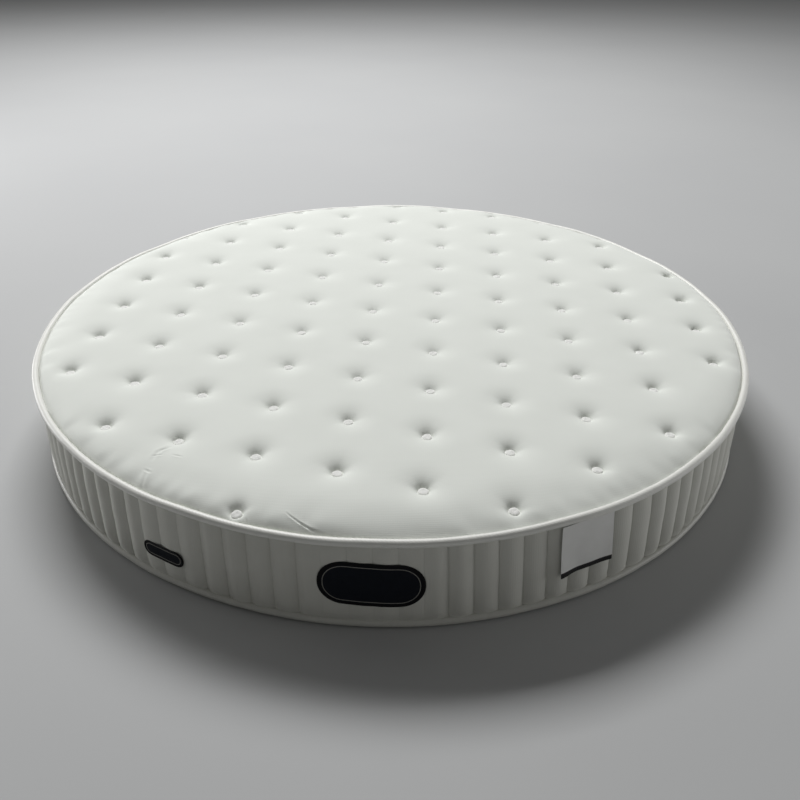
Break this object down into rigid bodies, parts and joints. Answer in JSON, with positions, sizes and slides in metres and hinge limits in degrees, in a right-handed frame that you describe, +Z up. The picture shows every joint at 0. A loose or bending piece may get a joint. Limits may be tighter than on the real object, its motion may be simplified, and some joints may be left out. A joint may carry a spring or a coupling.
{
  "type": "round mattress",
  "caption": "Round pocket-sprung mattress with a crowned button-tufted top, channelled border and piped edges.",
  "frame": {"origin": "middle of the flat underside, on the surface that the mattress lies on", "axes": "+Z up through the thickness; the labelled front of the border looks along -Y"},
  "size_m": [2, 2, 0.2591],
  "materials": {
    "knit_cover": "white polyester knit with a soft sheen",
    "base_fabric": "plain white non-slip underside cloth",
    "border_knit": "white knit quilted in upright channels",
    "piping_cloth": "white woven tape over cord",
    "tuft_felt": "pressed white wool felt",
    "tuft_cord": "twisted polyester cord",
    "anchor_plastic": "moulded white polypropylene",
    "comfort_foam": "open-cell polyurethane foam",
    "edge_foam": "firm polyurethane foam",
    "insulator_felt": "grey needled fibre pad",
    "pocket_fabric": "white spunbonded polypropylene round a steel coil",
    "label_weave": "dense near-black woven label",
    "label_satin": "white satin label tape"
  },
  "bodies": {
    "mattress": {"top_panel": "knit_cover", "bottom_panel": "base_fabric", "border": "border_knit", "top_piping": "piping_cloth", "bottom_piping": "piping_cloth", "tuft_felts": "tuft_felt", "tuft_cords": "tuft_cord", "tuft_anchors": "anchor_plastic", "top_comfort_foam": "comfort_foam", "edge_foam_ring": "edge_foam", "top_insulator": "insulator_felt", "bottom_insulator": "insulator_felt", "main_label": "label_weave", "small_label": "label_weave", "spring_string_01": "pocket_fabric", "spring_string_02": "pocket_fabric", "spring_string_03": "pocket_fabric", "spring_string_04": "pocket_fabric", "spring_string_05": "pocket_fabric", "spring_string_06": "pocket_fabric", "spring_string_07": "pocket_fabric", "spring_string_08": "pocket_fabric", "spring_string_09": "pocket_fabric", "spring_string_10": "pocket_fabric", "spring_string_11": "pocket_fabric", "spring_string_12": "pocket_fabric", "spring_string_13": "pocket_fabric", "spring_string_14": "pocket_fabric", "spring_string_15": "pocket_fabric", "spring_string_16": "pocket_fabric", "spring_string_17": "pocket_fabric", "spring_string_18": "pocket_fabric", "spring_string_19": "pocket_fabric", "spring_string_20": "pocket_fabric", "spring_string_21": "pocket_fabric"},
    "care_flap": {"care_label": "label_satin"}
  },
  "joints": [
    {"name": "care_flap_hinge", "type": "hinge", "parent": "mattress", "child": "care_flap", "pos_m": [0.41647, -0.90133, 0.22041], "axis": [-0.9078, -0.4195, 0], "range_deg": [0, 80]}
  ]
}
